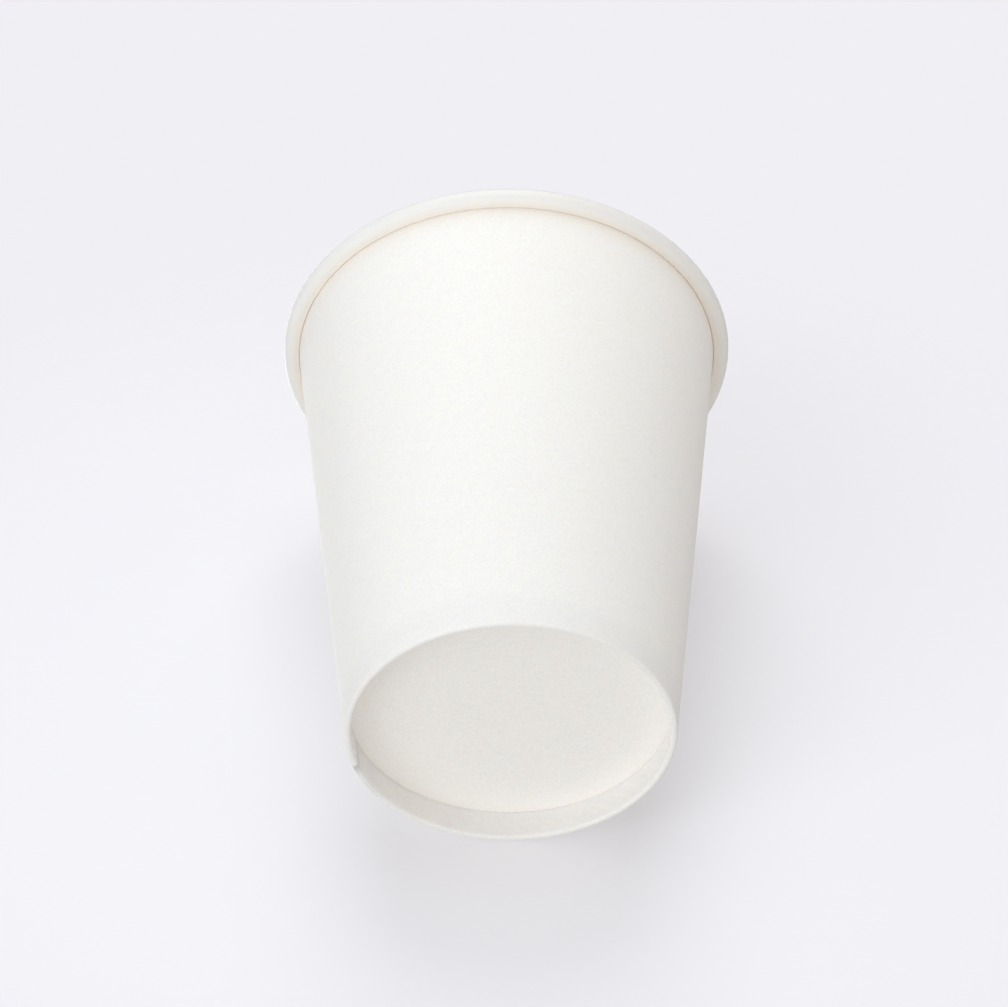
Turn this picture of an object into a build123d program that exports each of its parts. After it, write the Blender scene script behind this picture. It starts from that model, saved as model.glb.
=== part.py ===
from build123d import *
from math import asin, atan2, cos, degrees, hypot, radians, sin
import os

# A single-wall paper hot cup of about 8 oz, standing on its base.
# The origin is the centre of the ring it stands on, +Z runs up the cup's axis,
# and the glued side seam lies at SEAM_ANGLE, counted from +X towards +Y.

# overall sizes, mm
RIM_DIAMETER = 80.0        # across the outside of the rolled rim
BASE_DIAMETER = 56.0       # across the outside of the folded bottom edge
CUP_HEIGHT = 92.0          # from the standing edge to the top of the roll

# sidewall blank
BOARD = 0.35               # thickness of the sidewall board
CURL_DIAMETER = 3.0        # outside diameter of the rolled rim's section
CURL_CLEARANCE = 0.08      # between the roll's tucked turn and the wall
CURL_TUCK = 150.0          # degrees that the tucked turn goes on inside the roll
HEM_CLEARANCE = 0.60       # from the hem's cut edge up to the disc's underside
FOLD_RADIUS = 0.30         # centreline radius of the bottom fold's two bends
SEAM_ANGLE = 20.0          # degrees
SEAM_LAP = 8.0             # width of the glued lap
SEAM_RAMP = 1.5            # run in which the outer flap climbs over the inner one

# bottom blank
DISC_BOARD = 0.30          # thickness of the bottom board
RECESS = 6.0               # height of the disc's underside above the standing plane
CORNER_RADIUS = 0.60       # centreline radius of the bend from disc to skirt
SKIRT_CLEARANCE = 0.35     # from the inside of the bottom fold up to the skirt's edge
LAYER_CLEARANCE = 0.05     # between the skirt and the board on each side of it

# The wall's centreline touches the bottom fold's outer bend on one side and the roll on
# the other, so its lean follows from those two circles.
curl_radius = CURL_DIAMETER / 2
roll_radius = curl_radius - BOARD / 2
curl_centre = (RIM_DIAMETER / 2 - curl_radius, CUP_HEIGHT - curl_radius)
bend_centre = (BASE_DIAMETER / 2 - FOLD_RADIUS - BOARD / 2, FOLD_RADIUS + BOARD / 2)
across = curl_centre[0] - bend_centre[0]
up = curl_centre[1] - bend_centre[1]
span = hypot(across, up)
lean = atan2(across, up) - asin((FOLD_RADIUS + roll_radius) / span)
wall_length = (span**2 - (FOLD_RADIUS + roll_radius) ** 2) ** 0.5
lean_degrees = degrees(lean)

# The fold holds the skirt between the wall and the hem.
hem_spacing = BOARD + DISC_BOARD + 2 * LAYER_CLEARANCE
flat_width = (hem_spacing - 2 * FOLD_RADIUS) / cos(lean)
hem_bend_centre = (bend_centre[0] - flat_width, bend_centre[1])
hem_bend_start = hem_bend_centre[1] + FOLD_RADIUS * sin(lean)
hem_length = (RECESS - HEM_CLEARANCE - hem_bend_start) / cos(lean)


def walk(start, heading, runs):
    """Edges of an open line that leaves start at a heading in degrees.

    Each run is (length, turn): a straight run where turn is 0, and otherwise an arc of
    that length that turns by so many degrees, to the left where turn is positive.
    """
    x, z = start
    edges = []
    for length, turn in runs:
        half = radians(turn) / 2
        chord = length if turn == 0 else length * sin(abs(half)) / abs(half)
        direction = radians(heading) + half
        end = (x + chord * cos(direction), z + chord * sin(direction))
        if turn == 0:
            edges.append(Line((x, z), end))
        else:
            sagitta = length / abs(2 * half) * (1 - cos(half))
            side = -1 if turn > 0 else 1
            middle = (
                (x + end[0]) / 2 - side * sagitta * sin(direction),
                (z + end[1]) / 2 + side * sagitta * cos(direction),
            )
            edges.append(ThreePointArc((x, z), middle, end))
        heading += turn
        x, z = end
    return edges


def board_strip(start, heading, bends, offset, thickness):
    """Section of a bent strip of board.

    Each bend is (radius, turn) on the guide line, or (length, 0) for a flat run. The strip
    is thickness wide, and its middle lies offset to the right of the guide line.
    """
    sides = []
    for shift in (offset - thickness / 2, offset + thickness / 2):
        first = (
            start[0] + shift * sin(radians(heading)),
            start[1] - shift * cos(radians(heading)),
        )
        runs = []
        for size, turn in bends:
            radius = size + shift if turn > 0 else size - shift
            runs.append((size, 0) if turn == 0 else (radius * abs(radians(turn)), turn))
        sides.append(walk(first, heading, runs))
    near, far = sides
    ends = [Line(near[0] @ 0, far[0] @ 0), Line(near[-1] @ 1, far[-1] @ 1)]
    return Plane.XZ * make_face(near + far + ends)


def sidewall_strip(offset, thickness, with_curl):
    """Section of the sidewall blank, from the hem's cut edge to the rolled rim."""
    hem_top = (
        hem_bend_centre[0] - FOLD_RADIUS * cos(lean) + hem_length * sin(lean),
        hem_bend_start + hem_length * cos(lean),
    )
    bends = [
        (hem_length, 0),
        (FOLD_RADIUS, 90 + lean_degrees),
        (flat_width, 0),
        (FOLD_RADIUS, 90 - lean_degrees),
    ]
    if with_curl:
        tuck_radius = roll_radius - (BOARD + CURL_CLEARANCE) / (1 + sin(lean))
        bends += [
            (wall_length, 0),
            (roll_radius, lean_degrees - 270),
            (tuck_radius, -CURL_TUCK),
        ]
    else:
        bends.append((wall_length - curl_radius / 2, 0))
    return board_strip(hem_top, -90 - lean_degrees, bends, offset, thickness)


def seam_prism(points):
    """Prism along the seam, from (sideways, outward) points.

    Outward counts from the wall's outer face at the middle of the seam.
    """
    reach = FOLD_RADIUS + BOARD / 2
    foot = (bend_centre[0] + reach * cos(lean), 0, bend_centre[1] - reach * sin(lean))
    up_the_wall = (sin(lean), 0, cos(lean))
    plane = Plane(origin=foot, x_dir=(0, -1, 0), z_dir=up_the_wall)
    start = plane.offset(-CUP_HEIGHT / 10)
    return extrude(start * make_face(Polyline(*points, close=True)), CUP_HEIGHT * 1.2)


def drop(sideways):
    """How far the wall curves away from its tangent plane, near the base."""
    return sideways**2 / BASE_DIAMETER


def slab(low, high):
    """Everything of the cup between two heights."""
    return Pos(0, 0, (low + high) / 2) * Box(RIM_DIAMETER, RIM_DIAMETER, high - low)


def lap_layer():
    """The outer flap where it lies over the inner one, from the hem to under the roll.

    It is cut square at one edge and climbs down a ramp at the other. Where it goes round
    the fold it is pressed flush with the standing plane.
    """
    layer = revolve(sidewall_strip(BOARD * 0.75, BOARD * 1.5, False), Axis.Z)
    edge = SEAM_LAP / 2
    ramp_end = edge + SEAM_RAMP
    hem_face = -BOARD - hem_spacing
    far = 4 * hem_spacing
    outline = [
        (-edge, -far),
        (edge, -far),
        (edge, hem_face - BOARD - drop(edge)),
        (ramp_end, hem_face - drop(ramp_end)),
        (ramp_end, -drop(ramp_end)),
        (edge, BOARD - drop(edge)),
        (edge, far),
        (-edge, far),
    ]
    return layer & seam_prism(outline) & slab(0, CUP_HEIGHT)


def flap_gap():
    """The wedge left inside the cup, beside the cut edge of the inner flap."""
    edge = SEAM_LAP / 2
    ramp_end = edge + SEAM_RAMP
    wedge = seam_prism([
        (edge, -drop(edge)),
        (edge, -3 * BOARD),
        (ramp_end, -3 * BOARD),
        (ramp_end, -BOARD - drop(ramp_end)),
    ])
    return wedge & slab(RECESS + DISC_BOARD, curl_centre[1])


def make_sidewall():
    """One cut blank of board: cone, glued lap, rolled rim and folded-in bottom edge."""
    wall = revolve(sidewall_strip(0, BOARD, True), Axis.Z)
    wall = wall + lap_layer() - flap_gap()
    return Rot(0, 0, SEAM_ANGLE) * wall


def make_bottom_disc():
    """One round blank of board: flat disc with its edge turned down as a skirt."""
    skirt_offset = FOLD_RADIUS - BOARD / 2 - LAYER_CLEARANCE - DISC_BOARD / 2
    disc_middle = RECESS + DISC_BOARD / 2
    corner_height = disc_middle - CORNER_RADIUS
    rise = (corner_height - bend_centre[1]) * sin(lean)
    corner_reach = bend_centre[0] + (skirt_offset - CORNER_RADIUS + rise) / cos(lean)
    skirt_top = corner_height - CORNER_RADIUS * sin(lean)
    skirt_end = BOARD + SKIRT_CLEARANCE
    bends = [
        (corner_reach, 0),
        (CORNER_RADIUS, -90 - lean_degrees),
        ((skirt_top - skirt_end) / cos(lean), 0),
    ]
    return revolve(board_strip((0, disc_middle), 0, bends, 0, DISC_BOARD), Axis.Z)


pieces = {
    "sidewall": make_sidewall(),
    "bottom_disc": make_bottom_disc(),
}

os.makedirs("parts", exist_ok=True)
for name, piece in pieces.items():
    export_step(piece, f"parts/{name}.step")
    print(name, "volume", round(piece.volume, 1), "mm3, solids", len(piece.solids()))
print("wall lean", round(lean_degrees, 3), "degrees")
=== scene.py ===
from math import asin, atan2, cos, degrees, hypot, pi, radians, sin

import bmesh
import bpy
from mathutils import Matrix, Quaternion, Vector, noise


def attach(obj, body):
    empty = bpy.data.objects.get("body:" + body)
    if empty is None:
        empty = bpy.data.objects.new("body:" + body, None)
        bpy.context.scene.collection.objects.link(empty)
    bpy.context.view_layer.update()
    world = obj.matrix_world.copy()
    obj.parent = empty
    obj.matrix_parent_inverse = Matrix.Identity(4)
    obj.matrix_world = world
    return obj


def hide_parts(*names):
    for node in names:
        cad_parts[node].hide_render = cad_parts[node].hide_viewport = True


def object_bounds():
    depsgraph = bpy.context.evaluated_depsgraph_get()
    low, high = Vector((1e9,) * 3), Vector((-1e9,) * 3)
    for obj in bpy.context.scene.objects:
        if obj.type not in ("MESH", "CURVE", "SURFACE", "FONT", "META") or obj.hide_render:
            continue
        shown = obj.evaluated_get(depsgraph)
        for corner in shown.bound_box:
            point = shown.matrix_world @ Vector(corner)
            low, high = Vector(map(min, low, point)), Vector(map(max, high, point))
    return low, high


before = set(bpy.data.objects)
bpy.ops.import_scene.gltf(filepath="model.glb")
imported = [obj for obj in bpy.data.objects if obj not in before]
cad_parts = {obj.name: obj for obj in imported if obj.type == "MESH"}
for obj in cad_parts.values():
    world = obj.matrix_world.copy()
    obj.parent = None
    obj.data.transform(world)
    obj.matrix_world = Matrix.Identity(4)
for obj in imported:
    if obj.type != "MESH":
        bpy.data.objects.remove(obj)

# A plain white single-wall paper cup. Lengths are in millimetres until a mesh is finished.
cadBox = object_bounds()
lowCorner, highCorner = cadBox
millimetre = 0.001
rimDiameter = (highCorner.x - lowCorner.x) / millimetre
cupHeight = (highCorner.z - lowCorner.z) / millimetre
print("frame loaded, rim", round(rimDiameter, 2), "mm, height", round(cupHeight, 2), "mm")


class Wire:  # a socket that takes part in sums
    def __init__(self, shading, socket):
        self.shading = shading
        self.socket = socket

    def maths(self, operation, first, second):
        return self.shading.node("ShaderNodeMath", {"operation": operation}, {0: first, 1: second})

    def __add__(self, other):
        return self.maths("ADD", self, other)

    def __sub__(self, other):
        return self.maths("SUBTRACT", self, other)

    def __rsub__(self, other):
        return self.maths("SUBTRACT", other, self)

    def __mul__(self, other):
        return self.maths("MULTIPLY", self, other)

    __radd__ = __add__
    __rmul__ = __mul__


class Shading:  # the nodes of a material or a world
    def __init__(self, owner):
        owner.use_nodes = True
        self.nodes = owner.node_tree.nodes
        self.links = owner.node_tree.links
        self.nodes.clear()

    def node(self, kind, settings=None, values=None, output=0):
        made = self.nodes.new(kind)
        for key, value in (settings or {}).items():
            setattr(made, key, value)
        for key, value in (values or {}).items():
            if isinstance(value, Wire):
                self.links.new(value.socket, made.inputs[key])
            else:
                made.inputs[key].default_value = value
        return Wire(self, made.outputs[output]) if made.outputs else None

    def cloud(self, where, scale, detail, roughness):
        values = {"Vector": where, "Scale": scale, "Detail": detail, "Roughness": roughness}
        return self.node("ShaderNodeTexNoise", None, values)

    def stretched(self, where, scale):
        return self.node("ShaderNodeMapping", None, {"Vector": where, "Scale": scale})

    def between(self, value, low, high, fromLow, fromHigh):
        settings = {"interpolation_type": "SMOOTHSTEP"}
        values = {"Value": value, "From Min": fromLow, "From Max": fromHigh,
                  "To Min": low, "To Max": high}
        return self.node("ShaderNodeMapRange", settings, values)

    def blend(self, factor, first, second):
        settings = {"data_type": "RGBA"}
        return self.node("ShaderNodeMix", settings, {0: factor, 6: first, 7: second}, output=2)


paper = {
    "formation": 260.0,        # cloudy patches to the metre
    "felt": 1500.0,
    "grain": 3800.0,
    "flatFibre": 3400.0,       # fibres that lie round the cup
    "tallFibre": 3000.0,       # fibres that lie up the wall
    "flatStretch": (1.0, 1.0, 0.28),
    "tallStretch": (0.35, 0.35, 1.0),
    "strayFibre": 0.35,        # how strongly the longest fibres show
    "strayDarkness": 0.97,
    # painted warm shade for the valley under the roll, the bottom's corner and the hem's grooves
    "creaseShadeColour": (0.95, 0.85, 0.76),
    "roughnessSpread": 0.05,
    "index": 1.47,
    "sheenRoughness": 0.5,
    "coatRoughness": 0.35,
    "lightInside": 0.5,        # share of the light that goes through the board
    "insideColour": (1.0, 0.85, 0.7),
    "insideDepth": 0.6,
}
boards = {
    "uncoatedBoard": {"colour": (0.976, 0.960, 0.934), "shade": (0.914, 0.899, 0.874),
                      "roughness": 0.72, "specular": 0.35, "sheen": 0.04, "coat": 0.0,
                      "fibreDepth": 0.022},
    "filmedBoard": {"colour": (0.960, 0.942, 0.912), "shade": (0.944, 0.924, 0.892),
                    "roughness": 0.44, "specular": 0.5, "sheen": 0.0, "coat": 0.12,
                    "fibreDepth": 0.009},
    "cutBoardEdge": {"colour": (0.90, 0.885, 0.855), "shade": (0.85, 0.83, 0.79),
                     "roughness": 0.85, "specular": 0.2, "sheen": 0.05, "coat": 0.0,
                     "fibreDepth": 0.02},
    "bottomBoard": {"colour": (0.972, 0.952, 0.920), "shade": (0.912, 0.891, 0.857),
                    "roughness": 0.75, "specular": 0.3, "sheen": 0.04, "coat": 0.0,
                    "fibreDepth": 0.024},
}


def paperFinish(name, board):
    # cloudy formation, felt, fine grain, and fibres that lie two ways
    material = bpy.data.materials.new(name)
    shading = Shading(material)
    where = shading.node("ShaderNodeTexCoord", output="Object")
    formation = shading.cloud(where, paper["formation"], 3.0, 0.6)
    grain = shading.cloud(where, paper["grain"], 1.0, 0.5)
    felt = shading.cloud(where, paper["felt"], 2.0, 0.5)
    flat = shading.stretched(where, paper["flatStretch"])
    tall = shading.stretched(where, paper["tallStretch"])
    fibre = (shading.cloud(flat, paper["flatFibre"], 3.0, 0.65) * 0.5
             + shading.cloud(tall, paper["tallFibre"], 3.0, 0.65) * 0.5)

    # darker flecks, stray fibres, and painted warm shade in the creases
    tone = shading.between(formation * 0.12 + felt * 0.18 + grain * 0.7, 0.0, 1.0, 0.37, 0.63)
    body = shading.blend(tone, (*board["shade"], 1.0), (*board["colour"], 1.0))
    stray = shading.between(fibre, 0.0, paper["strayFibre"], 0.60, 0.72)
    strayColour = [part * paper["strayDarkness"] for part in board["shade"]]
    body = shading.blend(stray, body, (*strayColour, 1.0))
    # painted warm shade, read from the mesh and blended over the paper
    creaseShade = shading.node("ShaderNodeAttribute", {"attribute_name": "creaseShade"}, output="Fac")
    body = shading.blend(creaseShade, body, (*paper["creaseShadeColour"], 1.0))

    height = fibre * 0.6 + felt * 0.5 + grain * 0.6
    normal = shading.node("ShaderNodeBump", None,
                          {"Height": height, "Distance": board["fibreDepth"] * millimetre,
                           "Strength": 1.0})
    smoothest = board["roughness"] - paper["roughnessSpread"]
    roughest = board["roughness"] + paper["roughnessSpread"]
    shader = shading.node("ShaderNodeBsdfPrincipled", None, {
        "Base Color": body,
        "Roughness": shading.between(fibre, smoothest, roughest, 0.35, 0.65),
        "IOR": paper["index"],
        "Specular IOR Level": board["specular"],
        "Sheen Weight": board["sheen"],
        "Sheen Roughness": paper["sheenRoughness"],
        "Subsurface Weight": paper["lightInside"],
        "Subsurface Radius": paper["insideColour"],
        "Subsurface Scale": paper["insideDepth"] * millimetre,
        "Coat Weight": board["coat"],
        "Coat Roughness": paper["coatRoughness"],
        "Normal": normal,
    })
    shading.node("ShaderNodeOutputMaterial", None, {"Surface": shader})
    return material


finishes = {name: paperFinish(name, board) for name, board in boards.items()}
print("finishes made:", ", ".join(finishes))

sidewall = {
    "board": 0.35,             # thickness
    "baseDiameter": 56.0,
    "foldRadius": 0.30,
    "layersHeld": 0.40,        # the bottom's skirt and its clearances, held by the fold
    "hemHeight": 6.03,         # the cut edge is pressed a little into the disc
    "curlDiameter": 3.0,       # across the roll's section
    "curlClearance": 0.03,     # between the roll's tucked edge and the wall
    "curlCorner": 0.36,        # bend where the roll turns up against the wall
    "curlTuck": 0.75,          # run of the tucked edge up the wall
    "columns": 540,            # of faces round the cup
    "seamAngle": 20.0,         # degrees from +X towards +Y
    "seamLap": 8.0,
    "outerRamp": 1.5,          # run in which the outer flap climbs over the inner one
    "innerRamp": 0.7,          # run in which the inner flap comes level past the lap
    "hemLevel": (-3.0, 0.3),   # the same at the hem, from the lap's edge
    "hemProud": 0.05,          # share of the board that the lap stands proud at the hem
    "proudFrom": (0.6, 6.0),   # heights between which the lap comes to stand proud
    "mostSunk": 0.55,          # share of the board that the inner flap may sink
    "tuckProud": 0.5,          # share of the board that the lap adds inside the roll
    "waviness": 0.05,
    "waves": ((1.7, 0.022, 4.0, 1.0), (5.0, 0.07, 9.0, 0.4)),  # round, up, start and share
    "wavyFrom": (0.0, 9.0),    # heights
    "wavyUpTo": (80.0, 90.0),
    "knurlPitch": 2.4,         # between the pressed lines of the hem
    "knurlSlope": 1.19,        # sideways run of a line for each mm that it rises
    "knurlDepth": 0.07,
    "knurlSunk": 0.3,          # how far the lines lie below the hem's face, out of 1
    "knurlShadeDepth": (0.5, 1.0),   # depth in a groove from which it gets painted shade
    "knurlFrom": (0.7, 1.4),   # heights
    "knurlUpTo": (4.2, 5.0),
    "stretchShade": {"hem": 0.02, "fold": 0.02, "wall": 0.0, "roll": 0.05,
                    "underRoll": 0.7, "tuck": 0.7},  # painted warm shade of each stretch, out of 1
    "pressedLineShade": 0.22,        # painted shade that a pressed line's groove adds
    "wallValleyShade": 0.55,        # painted shade that the valley under the roll adds to the wall
    "wallValleyShadeFrom": (89.35, 89.9),  # heights
    "rollValleyShade": 0.4,         # and to the roll
    "rollValleyShadeBelow": (90.3, 89.2),
    "rollValleyShadeWithin": (39.7, 38.0),  # radii
    "rows": {"hem": 13, "bend": 6, "flat": 1, "wall": 18, "roll": 26, "underRoll": 2,
             "corner": 5, "tuck": 2},  # of faces in each run
}


def sectionRuns(s):
    # the board's guide line, from the hem's cut edge round the fold, up the wall and
    # round the roll: (stretch, length, turn in degrees, rows of faces)
    half = s["board"] / 2
    fold = s["foldRadius"]
    rollRadius = s["curlDiameter"] / 2 - half
    curl = (rimDiameter / 2 - s["curlDiameter"] / 2, cupHeight - s["curlDiameter"] / 2)
    bend = (s["baseDiameter"] / 2 - fold - half, fold + half)
    across, rise = curl[0] - bend[0], curl[1] - bend[1]
    lean = atan2(across, rise) - asin((fold + rollRadius) / hypot(across, rise))
    wallLength = (hypot(across, rise) ** 2 - (fold + rollRadius) ** 2) ** 0.5
    flat = (s["board"] + s["layersHeld"] - 2 * fold) / cos(lean)
    hemBend = (bend[0] - flat, bend[1])
    hemStart = hemBend[1] + fold * sin(lean)
    hemLength = (s["hemHeight"] - hemStart) / cos(lean)
    wallFace = bend[0] + (curl[1] - rollRadius - bend[1]) * sin(lean) / cos(lean)
    wallFace += (fold + half) / cos(lean) + s["curlClearance"]
    underRoll = curl[0] - wallFace - half - s["curlCorner"]
    tilt = degrees(lean)
    rows = s["rows"]
    start = (hemBend[0] - fold * cos(lean) + hemLength * sin(lean), s["hemHeight"])
    runs = [
        ("hem", hemLength, 0.0, rows["hem"]),
        ("fold", fold * radians(90 + tilt), 90 + tilt, rows["bend"]),
        ("fold", flat, 0.0, rows["flat"]),
        ("fold", fold * radians(90 - tilt), 90 - tilt, rows["bend"]),
        ("wall", wallLength, 0.0, rows["wall"]),
        ("roll", rollRadius * radians(270 - tilt), tilt - 270, rows["roll"]),
        ("underRoll", underRoll, 0.0, rows["underRoll"]),
        ("tuck", s["curlCorner"] * radians(90 - tilt), tilt - 90, rows["corner"]),
        ("tuck", s["curlTuck"], 0.0, rows["tuck"]),
    ]
    return start, -90 - tilt, runs


def walkRows(start, heading, runs):
    # one entry for each row of vertices: radius, height, heading, stretch
    rows = [(start[0], start[1], heading, runs[0][0])]
    x, z = start
    for stretch, length, turn, count in runs:
        for step in range(count):
            chord = length / count
            bend = radians(turn) / count
            if turn != 0:
                chord = chord * sin(abs(bend) / 2) / (abs(bend) / 2)
            direction = radians(heading) + bend / 2
            x += chord * cos(direction)
            z += chord * sin(direction)
            heading += turn / count
            rows.append((x, z, heading, stretch))
    return rows


def smoothStep(low, high, value):
    t = min(max((value - low) / (high - low), 0.0), 1.0)
    return t * t * (3 - 2 * t)


def lapLift(s, stretch, height, beforeEnd, afterStart):
    # how far the lap pushes the board out; the hem and fold are pressed nearly flush
    lap = s["seamLap"]
    over = 1 - smoothStep(lap, lap + s["outerRamp"], beforeEnd)
    proud = 1.0
    if stretch in ("hem", "fold"):
        proud = s["hemProud"]
        under = 1 - smoothStep(lap + s["hemLevel"][0], lap + s["hemLevel"][1], afterStart)
    else:
        under = 1 - smoothStep(lap, lap + s["innerRamp"], afterStart)
    if stretch == "wall":
        proud = s["hemProud"] + (1 - s["hemProud"]) * smoothStep(*s["proudFrom"], height)
    lift = s["board"] * (proud * over - min(1 - proud, s["mostSunk"]) * under)
    if stretch == "tuck":
        lift += s["board"] * max(over, under) * s["tuckProud"]
    return lift


def wallWaves(s, angle, height):
    # slow unevenness where the wall hangs free, away from the base and the roll
    free = smoothStep(*s["wavyFrom"], height) * (1 - smoothStep(*s["wavyUpTo"], height))
    place = Vector((cos(angle), sin(angle), 0))
    total = 0.0
    for around, rise, start, share in s["waves"]:
        spot = Vector((place.x * around, place.y * around, height * rise + start))
        total += share * noise.noise(spot)
    return s["waviness"] * free * total


def hemLines(s, angle, height):
    # slanting lines pressed round the hem: the push outwards, and the painted shade in each groove
    band = smoothStep(*s["knurlFrom"], height) * (1 - smoothStep(*s["knurlUpTo"], height))
    lines = round(pi * s["baseDiameter"] / s["knurlPitch"])
    phase = lines * angle - s["knurlSlope"] * height * 2 * pi / s["knurlPitch"]
    push = s["knurlDepth"] * band * (sin(phase) - s["knurlSunk"])
    return push, band * smoothStep(*s["knurlShadeDepth"], -sin(phase))


def paintedCreaseShade(s, stretch, radius, height):
    # the painted warm shade is deepest in the valley between the wall and the roll
    shown = s["stretchShade"][stretch]
    if stretch == "wall":
        shown += s["wallValleyShade"] * smoothStep(*s["wallValleyShadeFrom"], height)
    if stretch == "roll":
        low = smoothStep(*s["rollValleyShadeBelow"], height)
        shown += s["rollValleyShade"] * low * smoothStep(*s["rollValleyShadeWithin"], radius)
    return shown


def wrapBoard(s):
    # The flat blank is one grid, cut to the lap, folded, rolled and wrapped round the cone.
    rows = walkRows(*sectionRuns(s))
    rowCount = len(rows) - 1
    form = bmesh.new()
    form.loops.layers.uv.new("UVMap")
    bmesh.ops.create_grid(form, x_segments=s["columns"], y_segments=rowCount, size=1.0,
                          calc_uvs=True)
    creaseShadeLayer = form.verts.layers.float.new("creaseShade")
    for vertex in form.verts:
        along = (vertex.co.x + 1) / 2
        radius, height, heading, stretch = rows[round((vertex.co.y + 1) / 2 * rowCount)]
        # the inner flap's edge lies clockwise of the seam, and the outer flap's edge
        # anticlockwise of it, one turn later
        wrapped = 2 * pi + s["seamLap"] / radius
        angle = radians(s["seamAngle"]) - s["seamLap"] / 2 / radius + along * wrapped
        beforeEnd = (1 - along) * wrapped * radius  # from the outer flap's edge
        afterStart = along * wrapped * radius       # from the inner flap's edge
        push, grooveShade = 0.0, 0.0
        if stretch == "wall":
            push = wallWaves(s, angle, height)
        if stretch == "hem":
            push, grooveShade = hemLines(s, angle, height)
        push += lapLift(s, stretch, height, beforeEnd, afterStart)
        # right of the heading is the board's outer face
        radius += sin(radians(heading)) * push
        height = max(height - cos(radians(heading)) * push, s["board"] / 2)
        vertex.co = Vector((radius * cos(angle), radius * sin(angle), height))
        # painted warm shade for the valley and the pressed lines
        creaseShade = paintedCreaseShade(s, stretch, radius, height)
        vertex[creaseShadeLayer] = creaseShade + s["pressedLineShade"] * grooveShade
    return form


sharpAngle = 50.0  # degrees between two faces from which their edge looks cut


def finishPiece(form, name, outside, inside, thickness):
    # gives the sheet its thickness, half on each side, and its finishes
    bmesh.ops.scale(form, vec=(millimetre,) * 3, verts=form.verts)
    for face in form.faces:
        face.smooth = True
    mesh = bpy.data.meshes.new(name)
    form.to_mesh(mesh)
    form.free()
    for finish in (outside, inside, "cutBoardEdge"):
        mesh.materials.append(finishes[finish])
    piece = bpy.data.objects.new(name, mesh)
    bpy.context.scene.collection.objects.link(piece)
    wall = piece.modifiers.new("board", "SOLIDIFY")
    wall.thickness = thickness * millimetre
    wall.offset = 0.0
    wall.material_offset = 1
    wall.material_offset_rim = 2
    bpy.context.view_layer.update()
    evaluated = piece.evaluated_get(bpy.context.evaluated_depsgraph_get())
    solid = bpy.data.meshes.new_from_object(evaluated)
    piece.modifiers.clear()
    piece.data = solid
    solid.name = name
    solid.set_sharp_from_angle(angle=radians(sharpAngle))
    return piece


sidewallBoard = finishPiece(wrapBoard(sidewall), "sidewallBoard", "uncoatedBoard", "filmedBoard",
                            sidewall["board"])
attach(sidewallBoard, "root")
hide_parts("sidewall")
print("sidewall wrapped,", len(sidewallBoard.data.polygons), "faces")

bottom = {
    "board": 0.30,             # thickness
    "recess": 6.0,             # up to the disc's underside
    "cornerRadius": 0.60,
    "clearance": 0.05,         # between the skirt and the wall
    "skirtEnd": 0.70,          # height of the skirt's cut edge
    "hub": 0.4,                # radius of the flat face that closes the middle
    "steps": 360,              # of faces round the disc
    "rows": {"disc": 26, "corner": 8, "skirt": 6},  # of faces in each run
    "sag": 0.10,
    "unevenness": 0.05,
    "unevenScale": 0.06,
    "unevenUpTo": 18.0,        # radius from which the disc gets flatter
    "pucker": 0.05,
    "puckerScale": 17.0,
    "puckerFrom": (-2.0, 0.2),  # counted from the bend of the corner
    "creaseShade": 0.15,            # painted shade in the corner, out of 1
    "cornerShadeFrom": (-0.8, 0.1),  # counted from the bend of the corner
}


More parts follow.
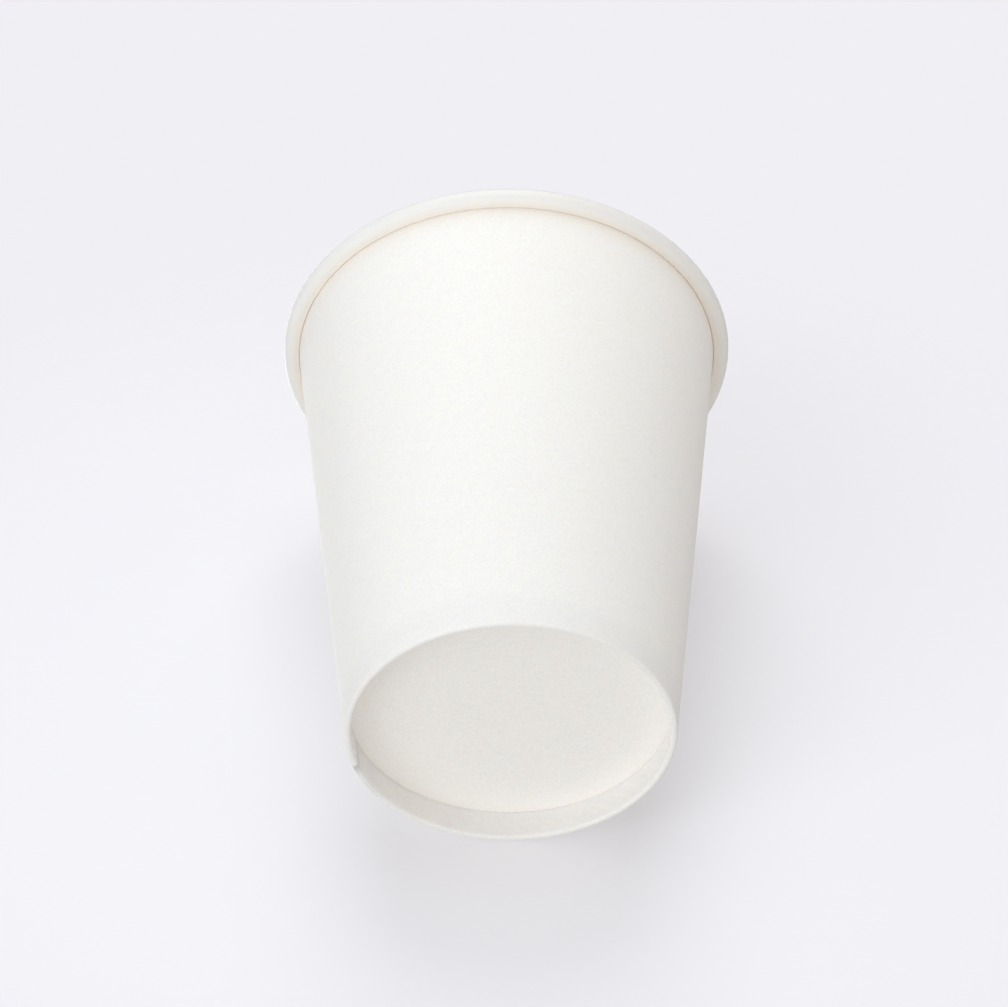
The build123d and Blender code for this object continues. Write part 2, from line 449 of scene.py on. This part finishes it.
def spinBottom(b, s):
    # the disc and its skirt, spun from a section that follows the inside of the wall
    tilt = radians(-90 - sectionRuns(s)[1])
    half = s["board"] / 2
    bend = (s["baseDiameter"] / 2 - s["foldRadius"] - half, s["foldRadius"] + half)
    offset = s["foldRadius"] - half - b["clearance"] - b["board"] / 2
    middle = b["recess"] + b["board"] / 2
    cornerHeight = middle - b["cornerRadius"]
    rise = (cornerHeight - bend[1]) * sin(tilt)
    reach = bend[0] + (offset - b["cornerRadius"] + rise) / cos(tilt)
    skirtTop = cornerHeight - b["cornerRadius"] * sin(tilt)
    turn = 90 + degrees(tilt)
    rows = walkRows((b["hub"], middle), 0.0, [
        ("disc", reach - b["hub"], 0.0, b["rows"]["disc"]),
        ("corner", b["cornerRadius"] * radians(turn), -turn, b["rows"]["corner"]),
        ("skirt", (skirtTop - b["skirtEnd"]) / cos(tilt), 0.0, b["rows"]["skirt"]),
    ])
    form = bmesh.new()
    line = [form.verts.new((row[0], 0, row[1])) for row in rows]
    edges = [form.edges.new(pair) for pair in zip(line, line[1:])]
    bmesh.ops.spin(form, geom=line + edges, axis=(0, 0, 1), cent=(0, 0, 0), angle=2 * pi,
                   steps=b["steps"], use_merge=True, dvec=(0, 0, 0))
    hubEdges = [edge for edge in form.edges
                if edge.is_boundary and all(v.co.xy.length < 1.25 * b["hub"] for v in edge.verts)]
    bmesh.ops.contextual_create(form, geom=hubEdges)
    puckerStart, puckerEnd = (reach + shift for shift in b["puckerFrom"])
    for vertex in form.verts:
        x, y = vertex.co.xy
        radius = vertex.co.xy.length
        if radius < reach:
            vertex.co.z -= b["sag"] * (1 - (radius / reach) ** 2)
        inside = 1 - smoothStep(b["unevenUpTo"], reach, radius)
        slow = noise.noise(Vector((x * b["unevenScale"], y * b["unevenScale"], 3.0)))
        vertex.co.z += b["unevenness"] * slow * inside
        if vertex.co.z > cornerHeight:
            angle = atan2(y, x)
            spot = (cos(angle) * b["puckerScale"], sin(angle) * b["puckerScale"], 0.0)
            crimp = noise.noise(Vector(spot))
            vertex.co.z += b["pucker"] * crimp * smoothStep(puckerStart, puckerEnd, radius)
    # the plain side of the blank faces down
    bmesh.ops.recalc_face_normals(form, faces=form.faces)
    top = max(form.faces, key=lambda face: face.calc_center_median().z)
    if top.normal.z > 0:
        bmesh.ops.reverse_faces(form, faces=form.faces)
    # painted shade, deepening towards the corner where the disc turns down
    cornerShadeStart, cornerShadeEnd = (reach + shift for shift in b["cornerShadeFrom"])
    creaseShadeLayer = form.verts.layers.float.new("creaseShade")
    for vertex in form.verts:
        shown = smoothStep(cornerShadeStart, cornerShadeEnd, vertex.co.xy.length)
        vertex[creaseShadeLayer] = b["creaseShade"] * shown
    return form


bottomBoard = finishPiece(spinBottom(bottom, sidewall), "bottomBoard", "bottomBoard", "filmedBoard",
                          bottom["board"])
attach(bottomBoard, "root")
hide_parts("bottom_disc")
print("bottom spun,", len(bottomBoard.data.polygons), "faces")

studio = {
    "paleGrey": (0.871, 0.863, 0.905),      # the room, as the camera sees it
    "skyColour": (0.531, 0.523, 0.515),     # the light that comes from all round
    "restSide": 315.0,                      # the side of the cup that the leaning sheet touches
    "restHeight": 35.0,                     # of the sheet's middle, measured up the wall
    "sheetRadius": 0.16,                    # metres
    "sheetColour": (0.920, 0.918, 0.968),
    "sheetFade": 0.28,                      # where a sheet starts to fade, out of 0.5
    "floorRadius": 0.30,
    "floorColour": (0.966, 0.962, 0.998),
    "floorFade": 0.2,
    "fadeEnd": 0.49,
    "lampHeight": 0.045,                    # of the point that the lamps face, metres
}


def paleSheet(name, radius, fade, colour):
    # fades out round its edge and is clear from behind; only the camera sees it
    material = bpy.data.materials.new(name)
    shading = Shading(material)
    where = shading.node("ShaderNodeTexCoord", output="UV")
    out = shading.node("ShaderNodeVectorMath", {"operation": "DISTANCE"},
                       {0: where, 1: (0.5, 0.5, 0.0)}, output="Value")
    keep = shading.between(out, 1.0, 0.0, fade, studio["fadeEnd"])
    back = shading.node("ShaderNodeNewGeometry", output="Backfacing")
    cloth = shading.node("ShaderNodeBsdfDiffuse", None, {"Color": (*colour, 1.0)})
    clear = shading.node("ShaderNodeBsdfTransparent")
    shown = shading.node("ShaderNodeMixShader", None, {0: keep * (1 - back), 1: clear, 2: cloth})
    shading.node("ShaderNodeOutputMaterial", None, {"Surface": shown})
    form = bmesh.new()
    form.loops.layers.uv.new("UVMap")
    bmesh.ops.create_grid(form, x_segments=8, y_segments=8, size=radius, calc_uvs=True)
    mesh = bpy.data.meshes.new(name)
    form.to_mesh(mesh)
    form.free()
    mesh.materials.append(material)
    sheet = bpy.data.objects.new(name, mesh)
    bpy.context.scene.collection.objects.link(sheet)
    sheet.visible_diffuse = False
    sheet.visible_glossy = False
    sheet.visible_transmission = False
    sheet.visible_shadow = False
    return sheet


def leanSheet(sheet, s):
    # tangent to the fold and the roll on the resting side
    curlRadius = s["curlDiameter"] / 2
    curl = (rimDiameter / 2 - curlRadius, cupHeight - curlRadius)
    foot = s["foldRadius"] + s["board"] / 2
    bend = (s["baseDiameter"] / 2 - foot, foot)
    across, rise = curl[0] - bend[0], curl[1] - bend[1]
    tilt = atan2(across, rise) + asin((curlRadius - foot) / hypot(across, rise))
    side = radians(studio["restSide"])
    outward = Vector((cos(side), sin(side), 0))
    normal = -outward * cos(tilt) + Vector((0, 0, sin(tilt)))
    touch = outward * (bend[0] + foot * cos(tilt)) + Vector((0, 0, bend[1] - foot * sin(tilt)))
    alongWall = outward * sin(tilt) + Vector((0, 0, cos(tilt)))
    middle = (touch + alongWall * studio["restHeight"]) * millimetre
    sheet.data.transform(normal.to_track_quat("Z", "Y").to_matrix().to_4x4())
    for vertex in sheet.data.vertices:
        vertex.co += middle


paleSheet("floor", studio["floorRadius"], studio["floorFade"], studio["floorColour"])
leaningSheet = paleSheet("leaningSheet", studio["sheetRadius"], studio["sheetFade"],
                         studio["sheetColour"])
leanSheet(leaningSheet, sidewall)


def lookTowards(source, aim):
    return (Vector(aim) - Vector(source)).to_track_quat("-Z", "Y")


def softLight(name, toward, power, colour, distance=1.2, size=0.9):
    lamp = bpy.data.lights.new(name, "AREA")
    lamp.shape = "DISK"
    lamp.size = size
    lamp.energy = power
    lamp.color = colour
    holder = bpy.data.objects.new(name, lamp)
    middle = Vector((0, 0, studio["lampHeight"]))
    holder.location = middle + toward.normalized() * distance
    holder.rotation_mode = "QUATERNION"
    holder.rotation_quaternion = lookTowards(holder.location, middle)
    bpy.context.scene.collection.objects.link(holder)


left = Vector((0.7071, 0.7071, 0))   # as the camera sees it
near = Vector((-0.7071, 0.7071, 0))
up = Vector((0, 0, 1))
softLight("sideWindow", left + near - up, 1.96, (0.91, 0.95, 1.0))
softLight("rimWindow", near + up, 3.46, (1.0, 0.98, 0.98))
softLight("front", near + up * 0.25, 2.10, (0.87, 0.99, 1.0))
softLight("frontLow", left * 0.4 + near - up * 0.35, 0.81, (0.95, 0.97, 1.0))
softLight("dimSide", near - left, 0.50, (1.0, 1.0, 1.0))
softLight("warmSide", near * 0.6 - left - up * 0.4, 0.36, (1.0, 0.45, 0.2))
softLight("baseFill", near * 0.3 - up, 2.18, (1.0, 0.97, 0.90))
softLight("lowFill", left - up + near * 0.2, 1.92, (1.0, 1.0, 1.0))
softLight("farFill", left * 0.3 - near + up * 0.7, 8.0, (0.98, 1.0, 0.99), distance=1.4, size=1.2)

world = bpy.data.worlds.new("paleRoom")
bpy.context.scene.world = world
room = Shading(world)
toCamera = room.node("ShaderNodeLightPath", output="Is Camera Ray")
lighting = room.node("ShaderNodeBackground", None, {"Color": (*studio["skyColour"], 1.0)})
backdrop = room.node("ShaderNodeBackground", None, {"Color": (*studio["paleGrey"], 1.0)})
picked = room.node("ShaderNodeMixShader", None, {0: toCamera, 1: lighting, 2: backdrop})
room.node("ShaderNodeOutputWorld", None, {"Surface": picked})
bpy.context.scene.view_settings.view_transform = "Standard"
print("stage and lights set")

viewpoint = {
    "aim": (0.000521, 0.000513, 0.053369),
    "azimuth": 224.56,         # degrees, 0 looks along +Y
    "elevation": -43.29,
    "distance": 0.860947,
    "roll": -0.645,
    "lens": 175.63,
    "sensorWidth": 36.0,
    "clipStart": 0.01,
}
azimuth, elevation = radians(viewpoint["azimuth"]), radians(viewpoint["elevation"])
backward = Vector((sin(azimuth) * cos(elevation), -cos(azimuth) * cos(elevation), sin(elevation)))
camera = bpy.data.objects.new("camera", bpy.data.cameras.new("camera"))
camera.data.lens = viewpoint["lens"]
camera.data.sensor_width = viewpoint["sensorWidth"]
camera.data.clip_start = viewpoint["clipStart"]
camera.location = Vector(viewpoint["aim"]) + backward * viewpoint["distance"]
camera.rotation_mode = "QUATERNION"
roll = Quaternion((0, 0, 1), radians(viewpoint["roll"]))
camera.rotation_quaternion = lookTowards(camera.location, viewpoint["aim"]) @ roll
bpy.context.scene.collection.objects.link(camera)
bpy.context.scene.camera = camera
print("camera set")
